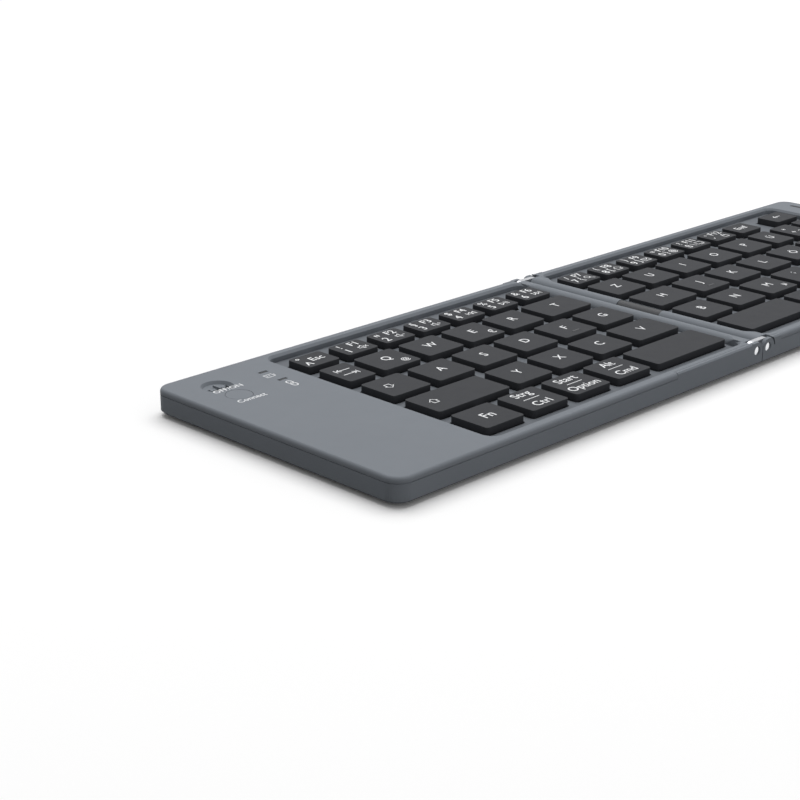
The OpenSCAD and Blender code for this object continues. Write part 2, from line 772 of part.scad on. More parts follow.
module right_membrane() {
    color("#3d6a4c") membrane(1, right_well_w);
}

// Under each key: a folded scissor frame and the rubber dome inside it.
module key_mechanism(w, d) {
    inset = 2 * (key_wall_t + 0.3);
    frame_w = w - inset;
    frame_d = d - inset;
    difference() {
        translate([-frame_w / 2, -frame_d / 2, 0]) cube([frame_w, frame_d, scissor_h]);
        translate([scissor_bar - frame_w / 2, scissor_bar - frame_d / 2, -eps])
            cube([frame_w - 2 * scissor_bar, frame_d - 2 * scissor_bar, scissor_h + 2 * eps]);
    }
    cylinder(r1 = dome_foot_r, r2 = dome_top_r, h = dome_h);
}

module key_mechanisms(keys) {
    for (k = keys) translate([k[1] + k[3] / 2, k[2], membrane_z]) key_mechanism(k[3], k[4]);
}

module left_key_mechanisms() {
    color("#d8d8d2") key_mechanisms(left_keys);
}

module right_key_mechanisms() {
    color("#d8d8d2") key_mechanisms(right_keys);
}

module keycap(w, d) {
    inner = 2 * key_wall_t;
    difference() {
        rounded_block(w, d, key_corner_r, key_h);
        translate([0, 0, -eps])
            rounded_block(w - inner, d - inner, key_corner_r - 0.6, key_h - key_top_t + eps);
    }
}

module keycaps(name, keys) {
    color("#3a3c40") for (k = keys) if (k[0] == name)
        translate([k[1] + k[3] / 2, k[2], key_low_z]) keycap(k[3], k[4]);
}

module hinge_pins() {
    pin_len = half_d - pocket_y + pin_grip - pin_recess;
    color("#c9ccd0") both_ends() for (s = [-1, 1])
        translate([s * hinge_half, pocket_y - pin_grip, hinge_z]) rotate([-90, 0, 0]) {
            cylinder(r = pin_r, h = pin_len);
            translate([0, 0, pin_len - pin_head_t]) cylinder(r = pin_head_r, h = pin_head_t);
        }
}

module hinge_links() {
    r = ridge_r - 0.05;
    color("#b9bcc0") both_ends() difference() {
        upright(1, pocket_y + link_clearance, link_t) {
            for (s = [-1, 1]) translate([s * hinge_half, hinge_z]) circle(r);
            translate([-hinge_half, hinge_z - r]) square([2 * hinge_half, 2 * r]);
        }
        for (s = [-1, 1]) translate([s * hinge_half, pocket_y, hinge_z]) rotate([-90, 0, 0])
            cylinder(r = pin_r + pin_fit, h = 2 * link_t);
    }
}

module screws(side) {
    at_screws(side, concat(deck_screws, cover_screws)) translate([0, 0, case_z]) {
        cylinder(r = screw_head_r, h = screw_head_h);
        cylinder(r = screw_r, h = screw_head_h + screw_len);
    }
}

module left_screws() {
    color("#8a8d90") screws(-1);
}

module right_screws() {
    color("#8a8d90") screws(1);
}

module left_feet() {
    color("#1f2022") foot_places(-1) cylinder(r = foot_r, h = foot_h + foot_seat);
}

module right_feet() {
    color("#1f2022") foot_places(1) cylinder(r = foot_r, h = foot_h + foot_seat);
}

module main_board() {
    color("#1e5a36") translate([board_x - board_w / 2, board_y - board_d / 2, board_z])
        cube([board_w, board_d, board_t]);
}

module battery() {
    color("#9aa0a6") translate([board_x - battery_w / 2, battery_y - battery_d / 2, floor_z])
        cube([battery_w, battery_d, battery_t]);
}

module charge_socket() {
    color("#a9adb2") difference() {
        translate([socket_x, half_d - socket_wall, socket_z + socket_h / 2]) rotate([90, 0, 0])
            rounded_block(socket_w, socket_h, 0.5, socket_len);
        translate([socket_x, half_d, socket_z + socket_h / 2]) rotate([90, 0, 0])
            rounded_block(socket_w - 2 * socket_wall, socket_h - 2 * socket_wall, 0.3,
                          socket_len - 0.6);
    }
    color("#202225") translate([socket_x - 2.4, half_d - socket_len + 0.1, socket_z + 1])
        cube([4.8, socket_len - 1.2, 0.5]);
}

module button_switches() {
    color("#c4c6c8") for (y = [power_y, pair_y])
        translate([button_x - switch_w / 2, y - switch_w / 2, board_top])
            cube([switch_w, switch_w, switch_h]);
}

// The knob: a plate under the cover, a block in the slot and a fin across it for the fingertip.
module power_knob() {
    plate_w = switch_slot_w + 1.6;
    block_w = switch_slot_w - 2 * knob_clearance;
    low_z = board_top + switch_h + knob_clearance;
    high_z = rim_z - cover_t - knob_clearance;
    fin_z = rim_z - dish_deep + fin_lift;
    color("#7d838a") translate([button_x, power_y, 0]) {
        translate([-knob_len / 2, -plate_w / 2, low_z]) cube([knob_len, plate_w, high_z - low_z]);
        translate([-knob_len / 2, -block_w / 2, low_z])
            cube([knob_len, block_w, fin_z + eps - low_z]);
        translate([-fin_t / 2, -fin_len / 2, fin_z]) cube([fin_t, fin_len, rim_z - 0.05 - fin_z]);
    }
}

module indicator_windows() {
    color("#1b1d20") for (y = [power_y, power_y - window_pitch])
        translate([window_x - window_len / 2, y - window_w / 2, board_top])
            cube([window_len, window_w, rim_z - 0.1 - board_top]);
}

module pairing_button() {
    collar_z = rim_z - cover_t - 0.1 - collar_t;
    stem_z = board_top + switch_h + button_travel + 0.05;
    color("#868c93") translate([button_x, pair_y, 0]) {
        translate([0, 0, collar_z]) cylinder(r = pair_r, h = rim_z - collar_z);
        translate([0, 0, collar_z]) cylinder(r = pair_r + button_collar, h = collar_t);
        translate([0, 0, stem_z]) cylinder(r = stem_r, h = collar_z - stem_z + eps);
    }
}

left_bottom_case();
left_top_cover();
left_key_deck();
left_support_plate();
left_membrane();
left_key_mechanisms();
left_feet();
left_screws();
main_board();
battery();
charge_socket();
button_switches();
indicator_windows();
power_knob();
pairing_button();
hinge_links();
hinge_pins();
right_bottom_case();
right_top_cover();
right_key_deck();
right_support_plate();
right_membrane();
right_key_mechanisms();
right_feet();
right_screws();
cable_cover();
bumper_strips();
keycaps("left_function_keys", left_keys);  // left_function_keys
keycaps("key_tab", left_keys);  // key_tab
keycaps("key_q", left_keys);  // key_q
keycaps("key_w", left_keys);  // key_w
keycaps("key_e", left_keys);  // key_e
keycaps("key_r", left_keys);  // key_r
keycaps("key_t", left_keys);  // key_t
keycaps("key_caps", left_keys);  // key_caps
keycaps("key_a", left_keys);  // key_a
keycaps("key_s", left_keys);  // key_s
keycaps("key_d", left_keys);  // key_d
keycaps("key_f", left_keys);  // key_f
keycaps("key_g", left_keys);  // key_g
keycaps("key_shift_left", left_keys);  // key_shift_left
keycaps("key_y", left_keys);  // key_y
keycaps("key_x", left_keys);  // key_x
keycaps("key_c", left_keys);  // key_c
keycaps("key_v", left_keys);  // key_v
keycaps("key_fn", left_keys);  // key_fn
keycaps("key_ctrl", left_keys);  // key_ctrl
keycaps("key_start", left_keys);  // key_start
keycaps("key_alt", left_keys);  // key_alt
keycaps("key_space_left", left_keys);  // key_space_left
keycaps("right_function_keys", right_keys);  // right_function_keys
keycaps("key_backspace", right_keys);  // key_backspace
keycaps("keys_z_to_hash", right_keys);  // keys_z_to_hash
keycaps("keys_h_to_ae", right_keys);  // keys_h_to_ae
keycaps("key_enter", right_keys);  // key_enter
keycaps("keys_b_to_dash", right_keys);  // keys_b_to_dash
keycaps("key_shift_right", right_keys);  // key_shift_right
keycaps("key_space_right", right_keys);  // key_space_right
keycaps("keys_altgr_ctrl_menu", right_keys);  // keys_altgr_ctrl_menu
keycaps("arrow_keys", right_keys);  // arrow_keys
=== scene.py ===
import math
import bmesh
import bpy
import numpy as np
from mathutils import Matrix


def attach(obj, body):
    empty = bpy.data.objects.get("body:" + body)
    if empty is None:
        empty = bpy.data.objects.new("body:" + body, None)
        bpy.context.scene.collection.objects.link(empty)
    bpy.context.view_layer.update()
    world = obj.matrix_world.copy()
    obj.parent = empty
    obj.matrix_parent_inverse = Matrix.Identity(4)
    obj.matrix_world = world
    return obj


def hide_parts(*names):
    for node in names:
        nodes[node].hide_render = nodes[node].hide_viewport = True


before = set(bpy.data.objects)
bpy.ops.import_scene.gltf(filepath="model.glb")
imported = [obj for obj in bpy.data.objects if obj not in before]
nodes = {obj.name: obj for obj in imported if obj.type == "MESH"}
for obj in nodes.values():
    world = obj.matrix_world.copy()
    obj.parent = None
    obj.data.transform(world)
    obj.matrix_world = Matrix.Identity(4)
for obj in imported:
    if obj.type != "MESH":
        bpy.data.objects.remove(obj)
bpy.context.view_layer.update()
mm = 0.001  # the frame is in metres; the numbers of each piece are in millimetres
print("frame loaded")


class Wire:
    # one shader output: Python arithmetic on it adds Math nodes to its tree

    def __init__(self, tree, socket):
        self.tree, self.socket = tree, socket

    def maths(self, operation, *values):
        return node(self.tree, "ShaderNodeMath", {"operation": operation}, values)[0]

    def __add__(self, other): return self.maths("ADD", self, other)
    def __radd__(self, other): return self.maths("ADD", other, self)
    def __sub__(self, other): return self.maths("SUBTRACT", self, other)
    def __rsub__(self, other): return self.maths("SUBTRACT", other, self)
    def __mul__(self, other): return self.maths("MULTIPLY", self, other)
    def __rmul__(self, other): return self.maths("MULTIPLY", other, self)
    def __truediv__(self, other): return self.maths("DIVIDE", self, other)
    def __rtruediv__(self, other): return self.maths("DIVIDE", other, self)

    def clipped(self):
        return self.maths("MINIMUM", self.maths("MAXIMUM", self, 0.0), 1.0)


def node(tree, kind, settings, values):
    # any node: settings first, then values or wires for its sockets, by order or by name
    made = tree.nodes.new(kind)
    for key, setting in settings.items():
        setattr(made, key, setting)
    pairs = values.items() if isinstance(values, dict) else enumerate(values)
    for key, value in pairs:
        if isinstance(value, Wire):
            tree.links.new(value.socket, made.inputs[key])
        else:
            made.inputs[key].default_value = value
    return [Wire(tree, out) for out in made.outputs]


def newMaterial(name):
    # an empty material, its tree and the wire of its Object coordinates
    material = bpy.data.materials.new(name)
    material.use_nodes = True
    tree = material.node_tree
    tree.nodes.clear()
    place = node(tree, "ShaderNodeTexCoord", {}, {})[3]
    return material, tree, place


def finishMaterial(tree, **sockets):
    # the shader with its named sockets (a space is written as _), led to the output
    named = {key.replace("_", " "): value for key, value in sockets.items()}
    shader = node(tree, "ShaderNodeBsdfPrincipled", {}, named)[0]
    node(tree, "ShaderNodeOutputMaterial", {}, {"Surface": shader})


def noise(tree, place, scale, detail=2.0, rough=0.5):
    # cloudy values about one half, scale spots to a metre
    return node(tree, "ShaderNodeTexNoise", {},
                {"Vector": place, "Scale": scale, "Detail": detail, "Roughness": rough})[0]


def tint(tree, factor, dark, light):
    # the colour that lies between dark and light by the factor
    return node(tree, "ShaderNodeMix", {"data_type": "RGBA"},
                {0: factor, 6: (*dark, 1), 7: (*light, 1)})[2]


def bump(tree, height, distance):
    # normals of a relief whose full height is the distance
    return node(tree, "ShaderNodeBump", {}, {"Distance": distance, "Height": height})[0]


# Moulded plastic: what all its colours share, then one look for each part of the keyboard
mould = {"cloudScale": 55, "sweepScale": 240, "cloudShare": 0.6, "sweepRough": 0.08, "grainRough": 0.1}
shellLook = {"dark": (0.173, 0.189, 0.211), "light": (0.196, 0.214, 0.238),
             "rough": 0.56, "gloss": 0.1, "grain": 5200, "grainDepth": 0.012}
# the deck is the shell's own plastic, its colour made darker here: painted shade for the narrow gaps
# between the keys
paintedShadeDeckLook = {**shellLook, "dark": (0.138, 0.150, 0.167), "light": (0.157, 0.170, 0.189)}
keyLook = {"dark": (0.035, 0.0365, 0.041), "light": (0.041, 0.043, 0.048),
           "rough": 0.58, "gloss": 0.075, "grain": 7000, "grainDepth": 0.008}
trimLook = {"dark": (0.062, 0.064, 0.068), "light": (0.078, 0.08, 0.085),
            "rough": 0.5, "gloss": 0.15, "grain": 6000, "grainDepth": 0.01}


def mouldedPlastic(name, look):
    # colour by a mixture of wide clouds and the fine eroded grain; gloss wanders with a slow
    # sweep and the grain; the grain is the relief
    material, tree, place = newMaterial(name)
    cloud = noise(tree, place, mould["cloudScale"], detail=3)
    grain = noise(tree, place, look["grain"], detail=3, rough=0.6)
    sweep = noise(tree, place, mould["sweepScale"])
    share = mould["cloudShare"]
    mixture = (cloud * share + grain * (1 - share)).clipped()
    wander = (sweep - 0.5) * mould["sweepRough"]
    finishMaterial(tree, Base_Color=tint(tree, mixture, look["dark"], look["light"]),
                   Roughness=look["rough"] + wander + (grain - 0.5) * mould["grainRough"],
                   Specular_IOR_Level=look["gloss"],
                   Normal=bump(tree, grain, look["grainDepth"] * mm))
    return material


brush = {"streakScale": 900, "spotScale": 300, "streakShare": 0.7, "wander": 0.18, "depth": 0.004}


def steel(name, dark, light, rough, stretch):
    # brushed or tumbled metal: streaks drawn out along the direction of the smallest stretch
    material, tree, place = newMaterial(name)
    along = node(tree, "ShaderNodeMapping", {}, {"Vector": place, "Scale": stretch})[0]
    streaks = noise(tree, along, brush["streakScale"], detail=3, rough=0.65)
    spots = noise(tree, place, brush["spotScale"])
    share = brush["streakShare"]
    mixture = (streaks * share + spots * (1 - share)).clipped()
    finishMaterial(tree, Base_Color=tint(tree, mixture, dark, light), Metallic=1.0,
                   Roughness=rough + (streaks - 0.5) * brush["wander"],
                   Normal=bump(tree, streaks, brush["depth"] * mm))
    return material


pore = {"scale": 3800, "dustScale": 130, "rough": 0.74, "wander": 0.2, "depth": 0.02}


def rubber(name, dark, light):
    # dust in wide clouds sets colour and gloss, fine pores are the relief
    material, tree, place = newMaterial(name)
    pores = noise(tree, place, pore["scale"], detail=4, rough=0.7)
    dust = noise(tree, place, pore["dustScale"], detail=3)
    finishMaterial(tree, Base_Color=tint(tree, dust, dark, light),
                   Roughness=pore["rough"] + (dust - 0.5) * pore["wander"],
                   Normal=bump(tree, pores, pore["depth"] * mm))
    return material


sleek = {"wander": 0.1, "depth": 0.004}


def smoothPlastic(name, dark, light, rough, scale=400, gloss=0.5):
    # one cloud sets colour, gloss and a very shallow relief
    material, tree, place = newMaterial(name)
    cloud = noise(tree, place, scale)
    finishMaterial(tree, Base_Color=tint(tree, cloud, dark, light),
                   Roughness=rough + (cloud - 0.5) * sleek["wander"], Specular_IOR_Level=gloss,
                   Normal=bump(tree, cloud, sleek["depth"] * mm))
    return material


paint = {"dark": (0.74, 0.75, 0.77), "light": (0.86, 0.87, 0.88), "rough": 0.5, "scale": 2500}
evenly, across, lengthwise, rolled = (1, 1, 1), (1, 0.3, 1), (0.2, 1, 1), (0.15, 1, 1)
coverPlastic = mouldedPlastic("coverPlastic", shellLook)
deckPlastic = mouldedPlastic("deckPlastic", paintedShadeDeckLook)
keyPlastic = mouldedPlastic("keyPlastic", keyLook)
legendPaint = smoothPlastic("legendPaint", **paint)
marginPaint = smoothPlastic("marginPaint", **paint)
darkTrim = mouldedPlastic("darkTrim", trimLook)
linkSteel = steel("linkSteel", (0.36, 0.37, 0.39), (0.48, 0.49, 0.51), 0.32, lengthwise)
pinSteel = steel("pinSteel", (0.72, 0.73, 0.75), (0.84, 0.85, 0.86), 0.1, across)
plateSteel = steel("plateSteel", (0.4, 0.41, 0.42), (0.55, 0.56, 0.57), 0.4, rolled)
screwSteel = steel("screwSteel", (0.12, 0.12, 0.125), (0.24, 0.24, 0.25), 0.35, evenly)
socketSteel = steel("socketSteel", (0.45, 0.46, 0.48), (0.6, 0.61, 0.62), 0.28, across)
feetRubber = rubber("feetRubber", (0.018, 0.018, 0.02), (0.03, 0.03, 0.032))
windowPlastic = smoothPlastic("windowPlastic", (0.026, 0.029, 0.034), (0.034, 0.038, 0.044),
                              0.25, gloss=0.12)
filmGreen = smoothPlastic("filmGreen", (0.016, 0.075, 0.045), (0.025, 0.1, 0.06), 0.35, scale=120)
boardGreen = smoothPlastic("boardGreen", (0.008, 0.07, 0.03), (0.014, 0.1, 0.045), 0.3, scale=90)
milkPlastic = smoothPlastic("milkPlastic", (0.5, 0.5, 0.48), (0.62, 0.62, 0.6), 0.4)
pouchFoil = steel("pouchFoil", (0.5, 0.51, 0.53), (0.62, 0.63, 0.65), 0.38, evenly)
print("finishes ready")


def addPiece(name, mesh, material, body, slot, *replaced):
    # an object at the origin that wears one material, rides on a body and stands for CAD nodes
    piece = bpy.data.objects.new(name, mesh)
    bpy.context.collection.objects.link(piece)
    mesh.materials.clear()
    mesh.materials.append(material)
    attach(piece, body)
    if replaced:
        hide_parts(*replaced)
    return piece


def meshFrom(name, parts, smooth=True):
    # parts are pairs of a point array and a list of faces; they become one mesh
    points, faces, first = [], [], 0
    for partPoints, partFaces in parts:
        points.append(partPoints)
        faces += [tuple(int(v) + first for v in face) for face in partFaces]
        first += len(partPoints)
    mesh = bpy.data.meshes.new(name)
    mesh.from_pydata(np.concatenate(points).tolist(), [], faces)
    mesh.polygons.foreach_set("use_smooth", np.full(len(mesh.polygons), smooth))
    mesh.update()
    return mesh


def weighNormals(piece):
    # normals at an edge lean to the larger face, so that flat faces stay flat to the eye
    fair = piece.modifiers.new("fairNormals", "WEIGHTED_NORMAL")
    fair.weight = 80
    fair.keep_sharp = True


def ringBand(rings, steps):
    # quads between rings of equal point count, laid one after another
    ring, step = np.meshgrid(np.arange(rings - 1), np.arange(steps), indexing="ij")
    here, there = ring * steps, (ring + 1) * steps
    following = (step + 1) % steps
    quads = [here + step, here + following, there + following, there + step]
    return np.stack(quads, -1).reshape(-1, 4)


def cappedBand(rings, steps):
    # the band's quads and one flat face over each of its two ends
    last = (rings - 1) * steps
    ends = [list(range(steps))[::-1], list(range(last, last + steps))]
    return ringBand(rings, steps).tolist() + ends


def roundedLoop(width, depth, radius, perCorner):
    # a rectangle's outline with quarter circles of the radius at its corners, run anticlockwise
    turn = np.linspace(0, math.pi / 2, perCorner)
    corner = np.repeat(np.arange(4), perCorner)
    angle = corner * math.pi / 2 + np.tile(turn, 4)
    signX = np.array([1, -1, -1, 1])[corner]
    signY = np.array([1, 1, -1, -1])[corner]
    return np.stack([signX * (width / 2 - radius) + radius * np.cos(angle),
                     signY * (depth / 2 - radius) + radius * np.sin(angle)], -1)


def loftedBlock(cx, cy, width, depth, radius, profile, perCorner=7, leastRadius=0.15):
    # the outline is drawn in by the profile's inset at each of its heights
    steps = 4 * perCorner
    loops = []
    for inset, z in profile:
        outline = roundedLoop(width - 2 * inset, depth - 2 * inset,
                              max(radius - inset, leastRadius), perCorner)
        loops.append(np.column_stack([outline + (cx, cy), np.full(steps, z)]))
    return np.concatenate(loops) * mm, cappedBand(len(profile), steps)


def turned(centre, axis, profile, steps=48):
    # a profile of (radius, height) turned about an axis through the centre
    axis = np.array(axis, float)
    upright = abs(axis[2]) > 0.9
    side = np.cross(axis, (1.0, 0.0, 0.0) if upright else (0.0, 0.0, 1.0))
    side /= np.linalg.norm(side)
    other = np.cross(axis, side)
    angle = np.linspace(0, 2 * math.pi, steps, endpoint=False)
    around = np.cos(angle)[:, None] * side + np.sin(angle)[:, None] * other
    rings = [np.array(centre) + around * radius + axis * height for radius, height in profile]
    return np.concatenate(rings) * mm, cappedBand(len(profile), steps)


def mergedShape(mesh, distance):
    # the mesh opened for editing, with points nearer than the distance made one
    shape = bmesh.new()
    shape.from_mesh(mesh)
    bmesh.ops.remove_doubles(shape, verts=shape.verts, dist=distance * mm)
    return shape


def putBack(shape, mesh):
    # the edited shape becomes the mesh again
    shape.to_mesh(mesh)
    shape.free()


soften = {"merge": 0.0005, "flatBelow": 0.6, "bevelAbove": 34}  # millimetres and two angles


def softened(name, width, material, slot, body, segments=2):
    # a merged copy of a CAD node with its edges broken by a small bevel of the width
    mesh = nodes[name].data.copy()
    mesh.name = name + "_soft"
    shape = mergedShape(mesh, soften["merge"])
    bmesh.ops.dissolve_limit(shape, angle_limit=math.radians(soften["flatBelow"]),
                             verts=shape.verts, edges=shape.edges)
    putBack(shape, mesh)
    mesh.polygons.foreach_set("use_smooth", np.ones(len(mesh.polygons), bool))
    piece = addPiece(name + "Piece", mesh, material, body, slot, name)
    edge = piece.modifiers.new("brokenEdges", "BEVEL")
    edge.width = width * mm
    edge.segments = segments
    edge.limit_method = "ANGLE"
    edge.angle_limit = math.radians(soften["bevelAbove"])
    weighNormals(piece)


def finishNode(name, material):
    # a CAD node that keeps its shape gets its finish
    for slot in nodes[name].material_slots:
        slot.material = material


# The keys: widths and places; each half's gaps share out what its keys leave of the block
keys = {"letter": 13.8, "narrow": 9.9, "tab": 9.5, "shift": 26.6, "h": 18.0, "backspace": 12.3,
        "rightSpace": 31.0, "depth": 12.7, "backDepth": 8.9, "leftX": -105.7, "rightX": 6.2,
        "leftBlock": 99.1, "rightBlock": 121.3, "backY": 31.7, "rowY": (17.6, 1.5, -14.6, -30.7)}
letterW, narrowW, leftBlock, rightBlock = (
    keys[name] for name in ("letter", "narrow", "leftBlock", "rightBlock"))
leftGap = (leftBlock - 6 * letterW) / 5
rightGap = (rightBlock - 5 * letterW - 3 * narrowW) / 7
leftFn, rightFn = (6 * letterW - leftGap) / 7, (6 * letterW - rightGap) / 7
tWidth = leftBlock - keys["tab"] - 4 * letterW - 5 * leftGap
gWidth = leftBlock - 5 * (letterW + leftGap)
vWidth = leftBlock - keys["shift"] - 3 * letterW - 4 * leftGap
leftSpace = leftBlock - 4 * (letterW + leftGap)
enterW = rightBlock - keys["h"] - 5 * letterW - 6 * rightGap
modifierW = (5 * letterW + rightGap - keys["rightSpace"]) / 3

# Legends: each mark has a kind, what it shows, its middle from the key's middle, and its size
legend = {"size": 3.95, "x": 0.2, "y": 0.5, "stackX": -0.1, "upperY": 3.5, "lowerY": -3.2,
          "barY": 0.35, "bar": 6.0, "label": (1.75, 2.3, 3.8), "shifted": (-3.2, 2.35, 3.6),
          "plain": (-3.2, -1.6, 4.0), "between": (-0.55, -1.5, 3.6), "icon": (2.3, -1.5, 3.2),
          "iconBeside": (2.9, -1.5, 3.2), "quotes": '"`´', "quoteSize": 5.2}


def sign(text, x, y, size):
    # a mark set in letters
    return ("text", text, x, y, size)


def icon(name, x, y, size):
    # a mark drawn with lines
    return ("icon", name, x, y, size)


def word(text, size=legend["size"], x=legend["x"], y=legend["y"]):
    # the only mark of a key, by default where a letter stands
    return [sign(text, x, y, size)]


def stacked(upper, lower):
    # two words with a bar between them
    x, size = legend["stackX"], legend["size"]
    return [sign(upper, x, legend["upperY"], size), icon("divider", x, legend["barY"], legend["bar"]),
            sign(lower, x, legend["lowerY"], size)]


def mediaLegend(label, shifted, plain, between, picture):
    # label above the icon on the right, shifted above plain sign on the left, perhaps one more
    # sign between; quotes and accents are small signs, so they are set larger
    marks = []
    for text, role in ((label, "label"), (shifted, "shifted"), (plain, "plain"), (between, "between")):
        if text:
            x, y, size = legend[role]
            marks.append(sign(text, x, y, legend["quoteSize"] if text in legend["quotes"] else size))
    return marks + [icon(picture, *legend["iconBeside" if between else "icon"])]


def letters(nodeName, text, more=None):
    # a run of letter keys, of one node or of a node each; more holds further marks by letter
    return [(nodeName or "key_" + letter.lower(), letterW, word(letter) + (more or {}).get(letter, []))
            for letter in text]


def keyRow(x, y, depth, gap, row):
    # keys follow one another from x with the gap between them: node, centre, size and marks
    placed = []
    for name, width, marks in row:
        placed.append((name, x + width / 2, y, width, depth, marks))
        x += width + gap
    return placed


mediaKeys = (("F1", "!", "1", "", "mute"), ("F2", '"', "2", "", "quieter"),
             ("F3", "§", "3", "", "louder"), ("F4", "$", "4", "", "previous"),
             ("F5", "%", "5", "", "play"), ("F6", "&", "6", "", "next"),
             ("F7", "/", "7", "{", "search"), ("F8", "(", "8", "[", "house"),
             ("F9", ")", "9", "]", "letter"), ("F10", "=", "0", "}", "globe"),
             ("F11", "?", "ß", "\\", "screen"), ("F12", "`", "´", "", "lock"))
escMarks = [sign("Esc", 1.2, 0.4, 3.7), sign("°", -3.7, 2.7, 4.0), sign("^", -3.5, -1.8, 5.4)]
qeMarks = {"Q": [sign("@", 3.65, -3.3, 2.7)], "E": [sign("€", 4.3, -3.2, 3.6)]}
homeMark = [icon("nub", 0.5, -3.5, 3.4)]
escRow = [("left_function_keys", leftFn, marks)
          for marks in [escMarks] + [mediaLegend(*five) for five in mediaKeys[:6]]]
tabRow = ([("key_tab", keys["tab"], [icon("tab", 0.0, 0.3, 5.0)])]
          + letters("", "QWER", qeMarks) + [("key_t", tWidth, word("T"))])
capsRow = ([("key_caps", letterW, [icon("capsArrow", -2.1, 0.35, 2.85)])]
           + letters("", "ASDF", {"F": homeMark}) + [("key_g", gWidth, word("G"))])
shiftRow = ([("key_shift_left", keys["shift"], [icon("shiftArrow", -8.5, 0.35, 2.85)])]
            + letters("", "YXC") + [("key_v", vWidth, word("V"))])
fnRow = [("key_fn", letterW, word("Fn", 4.35, 0.1, 0.1)), ("key_ctrl", letterW, stacked("Strg", "Ctrl")),
         ("key_start", letterW, stacked("Start", "Option")), ("key_alt", letterW, stacked("Alt", "Cmd")),
         ("key_space_left", leftSpace, [])]
f7Row = [("right_function_keys", rightFn, marks)
         for marks in [mediaLegend(*five) for five in mediaKeys[6:]] + [word("Entf", 3.6, 0.0, 0.3)]]
backspace = [("key_backspace", keys["backspace"], [icon("arrowLeft", 0.0, 0.4, 3.8)])]
plusMarks = [sign("*", -1.6, 2.6, 3.4), sign("+", -1.6, -1.6, 3.4), sign("~", 2.0, -1.6, 3.4)]
hashMarks = [sign("'", 0.0, 2.6, 3.4), sign("#", 0.0, -1.6, 3.4)]
zRow = letters("keys_z_to_hash", "ZUIOP") + [
    ("keys_z_to_hash", narrowW, marks) for marks in (word("Ü", 3.75, 0.0), plusMarks, hashMarks)]
hRow = ([("keys_h_to_ae", keys["h"], word("H"))] + letters("keys_h_to_ae", "JKLÖÄ", {"J": homeMark})
        + [("key_enter", enterW, [icon("enter", 0.0, 0.3, 4.4)])])
bRow = letters("keys_b_to_dash", "BNM", {"M": [sign("µ", 4.3, -3.2, 3.4)]}) + [
    ("keys_b_to_dash", letterW, [sign(";", 0.2, 2.2, 3.6), sign(",", 0.2, -2.2, 3.6)]),
    ("keys_b_to_dash", letterW, [sign(":", 0.2, 2.2, 3.6), sign(".", 0.2, -2.2, 3.6)]),
    ("keys_b_to_dash", narrowW, [sign("_", 0.0, 2.2, 3.4), sign("-", 0.0, -2.0, 3.6)]),
    ("arrow_keys", narrowW, [icon("arrowUp", 0.0, 0.2, 3.2)]),
    ("key_shift_right", narrowW, [icon("shiftArrow", 0.0, 0.3, 2.85)])]
modifierMarks = (word("AltGr", 3.4, 0.0), word("Ctrl", 3.6, 0.0), [icon("menu", 0.0, 0.3, 3.0)])
spaceRow = ([("key_space_right", keys["rightSpace"], [])]
            + [("keys_altgr_ctrl_menu", modifierW, marks) for marks in modifierMarks]
            + [("arrow_keys", narrowW, [icon(way, 0.0, 0.2, 3.2)])
               for way in ("arrowLeft", "arrowDown", "arrowRight")])

backRow = (keys["backY"], keys["backDepth"])
allKeys = keyRow(keys["leftX"], *backRow, leftGap, escRow)
for rowY, row in zip(keys["rowY"], (tabRow, capsRow, shiftRow, fnRow)):
    allKeys += keyRow(keys["leftX"], rowY, keys["depth"], leftGap, row)
allKeys += keyRow(keys["rightX"], *backRow, rightGap, f7Row)
allKeys += keyRow(keys["rightX"] + rightBlock - keys["backspace"], *backRow, rightGap, backspace)
for rowY, row in zip(keys["rowY"], (zRow, hRow, bRow, spaceRow)):
    allKeys += keyRow(keys["rightX"], rowY, keys["depth"], rightGap, row)

cap = {"top": 7.8, "low": 5.5, "pocket": 6.9, "wall": 1.0, "corner": 0.9, "edge": 0.1, "foot": 0.12,
       "flat": 0.05}


def keyCap(cx, cy, width, depth):
    # plan drawn in by a quarter circle at the top edge; the underside is hollow up to the
    # pocket's ceiling
    turn = np.linspace(0, math.pi / 2, 5)
    edge, top, low, wall, foot = (cap[name] for name in ("edge", "top", "low", "wall", "foot"))
    rounded = list(zip(edge * (1 - np.cos(turn)), top - edge + edge * np.sin(turn)))
    profile = [(wall, cap["pocket"]), (wall, low), (foot, low), (0.0, low + foot)]
    profile += rounded + [(edge + cap["flat"], top)]
    return loftedBlock(cx, cy, width, depth, cap["corner"], profile)


def arc(cx, cy, radius, start, end, count=13):
    # points at even angles on a circle, the angles in degrees
    turn = np.radians(np.linspace(start, end, count))
    return np.stack([cx + radius * np.cos(turn), cy + radius * np.sin(turn)], -1).tolist()


def line(*points):
    # an open stroke from point to point
    return (False, list(points))


def loop(*points):
    # a stroke that comes back to its first point
    return (True, list(points))


def ring(cx, cy, radius):
    # a circle of sixteen points
    return loop(*arc(cx, cy, radius, 0, 360, 17)[:-1])


def oblong(left, low, right, high):
    # an upright rectangle between two corners
    return loop((left, low), (right, low), (right, high), (left, high))


speaker = loop((-1, -0.32), (-0.55, -0.32), (-0.05, -0.8), (-0.05, 0.8), (-0.55, 0.32), (-1, 0.32))
blockArrow = [(0, 0.95), (-1, 0.1), (-0.6, 0.1), (-0.6, -0.85), (0.6, -0.85), (0.6, 0.1), (1, 0.1)]
shackle = [(0.42, 0.15)] + arc(0, 0.42, 0.42, 0, 180) + [(-0.42, 0.15)]
upperLink = arc(0.0, 0.55, 0.34, 0, 180, 7) + arc(0.0, 0.22, 0.34, 180, 360, 7)
lowerLink = arc(0.0, -0.22, 0.34, 0, 180, 7) + arc(0.0, -0.55, 0.34, 180, 360, 7)
